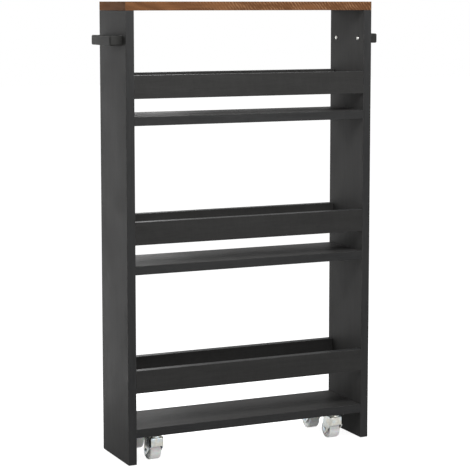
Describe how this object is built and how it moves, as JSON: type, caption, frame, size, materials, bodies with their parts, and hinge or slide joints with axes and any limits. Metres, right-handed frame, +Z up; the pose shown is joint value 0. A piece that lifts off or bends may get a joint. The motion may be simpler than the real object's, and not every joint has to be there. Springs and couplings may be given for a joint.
{
  "type": "rolling kitchen cart",
  "caption": "Slim rolling kitchen island cart with railed open shelves between two side panels, a wood-look top, side bow handles and swivel casters.",
  "frame": {"origin": "on the floor, in the middle of the outline of the cart with its casters trailing straight back", "axes": "+Z up, +X to the cart's right, -Y to its front"},
  "size_m": [0.612, 0.158, 0.95],
  "materials": {
    "charcoal_board": "fine matt charcoal melamine on particle board, with matching edge band",
    "walnut_board": "satin walnut-look melamine with rough-sawn marks along the edge",
    "handle_black": "fine black powder coat on die-cast metal",
    "caster_zinc": "bright zinc plate on pressed steel",
    "axle_zinc": "blue-white zinc plate",
    "fittings_zinc": "zinc plate",
    "wheel_nylon": "moulded off-white nylon"
  },
  "bodies": {
    "carcass": {"top_board": "walnut_board", "side_panel_left": "charcoal_board", "side_panel_right": "charcoal_board", "shelf_bottom": "charcoal_board", "rail_bottom_front": "charcoal_board", "rail_bottom_back": "charcoal_board", "cam_bottom_left": "fittings_zinc", "cam_bottom_right": "fittings_zinc", "shelf_middle": "charcoal_board", "rail_middle_front": "charcoal_board", "rail_middle_back": "charcoal_board", "cam_middle_left": "fittings_zinc", "cam_middle_right": "fittings_zinc", "shelf_top": "charcoal_board", "rail_top_front": "charcoal_board", "rail_top_back": "charcoal_board", "cam_top_left": "fittings_zinc", "cam_top_right": "fittings_zinc", "handle_left": "handle_black", "handle_screw_left_front": "fittings_zinc", "handle_screw_left_back": "fittings_zinc", "handle_right": "handle_black", "handle_screw_right_front": "fittings_zinc", "handle_screw_right_back": "fittings_zinc", "caster_plate_front_left": "caster_zinc", "kingpin_front_left": "fittings_zinc", "caster_screw_front_left_1": "fittings_zinc", "caster_screw_front_left_2": "fittings_zinc", "caster_screw_front_left_3": "fittings_zinc", "caster_screw_front_left_4": "fittings_zinc", "caster_plate_front_right": "caster_zinc", "kingpin_front_right": "fittings_zinc", "caster_screw_front_right_1": "fittings_zinc", "caster_screw_front_right_2": "fittings_zinc", "caster_screw_front_right_3": "fittings_zinc", "caster_screw_front_right_4": "fittings_zinc", "caster_plate_rear_left": "caster_zinc", "kingpin_rear_left": "fittings_zinc", "caster_screw_rear_left_1": "fittings_zinc", "caster_screw_rear_left_2": "fittings_zinc", "caster_screw_rear_left_3": "fittings_zinc", "caster_screw_rear_left_4": "fittings_zinc", "caster_plate_rear_right": "caster_zinc", "kingpin_rear_right": "fittings_zinc", "caster_screw_rear_right_1": "fittings_zinc", "caster_screw_rear_right_2": "fittings_zinc", "caster_screw_rear_right_3": "fittings_zinc", "caster_screw_rear_right_4": "fittings_zinc"},
    "swivel_front_left": {"fork_front_left": "caster_zinc", "axle_front_left": "axle_zinc"},
    "roller_front_left": {"wheel_front_left": "wheel_nylon"},
    "swivel_front_right": {"fork_front_right": "caster_zinc", "axle_front_right": "axle_zinc"},
    "roller_front_right": {"wheel_front_right": "wheel_nylon"},
    "swivel_rear_left": {"fork_rear_left": "caster_zinc", "axle_rear_left": "axle_zinc"},
    "roller_rear_left": {"wheel_rear_left": "wheel_nylon"},
    "swivel_rear_right": {"fork_rear_right": "caster_zinc", "axle_rear_right": "axle_zinc"},
    "roller_rear_right": {"wheel_rear_right": "wheel_nylon"}
  },
  "joints": [
    {"name": "swivel_front_left", "type": "hinge", "parent": "carcass", "child": "swivel_front_left", "pos_m": [-0.211, -0.052, 0.0525], "axis": [0, 0, 1], "continuous": true},
    {"name": "roll_front_left", "type": "hinge", "parent": "swivel_front_left", "child": "roller_front_left", "pos_m": [-0.211, -0.037, 0.02], "axis": [1, 0, 0], "continuous": true},
    {"name": "swivel_front_right", "type": "hinge", "parent": "carcass", "child": "swivel_front_right", "pos_m": [0.211, -0.052, 0.0525], "axis": [0, 0, 1], "continuous": true},
    {"name": "roll_front_right", "type": "hinge", "parent": "swivel_front_right", "child": "roller_front_right", "pos_m": [0.211, -0.037, 0.02], "axis": [1, 0, 0], "continuous": true},
    {"name": "swivel_rear_left", "type": "hinge", "parent": "carcass", "child": "swivel_rear_left", "pos_m": [-0.211, 0.044, 0.0525], "axis": [0, 0, 1], "continuous": true},
    {"name": "roll_rear_left", "type": "hinge", "parent": "swivel_rear_left", "child": "roller_rear_left", "pos_m": [-0.211, 0.059, 0.02], "axis": [1, 0, 0], "continuous": true},
    {"name": "swivel_rear_right", "type": "hinge", "parent": "carcass", "child": "swivel_rear_right", "pos_m": [0.211, 0.044, 0.0525], "axis": [0, 0, 1], "continuous": true},
    {"name": "roll_rear_right", "type": "hinge", "parent": "swivel_rear_right", "child": "roller_rear_right", "pos_m": [0.211, 0.059, 0.02], "axis": [1, 0, 0], "continuous": true}
  ]
}
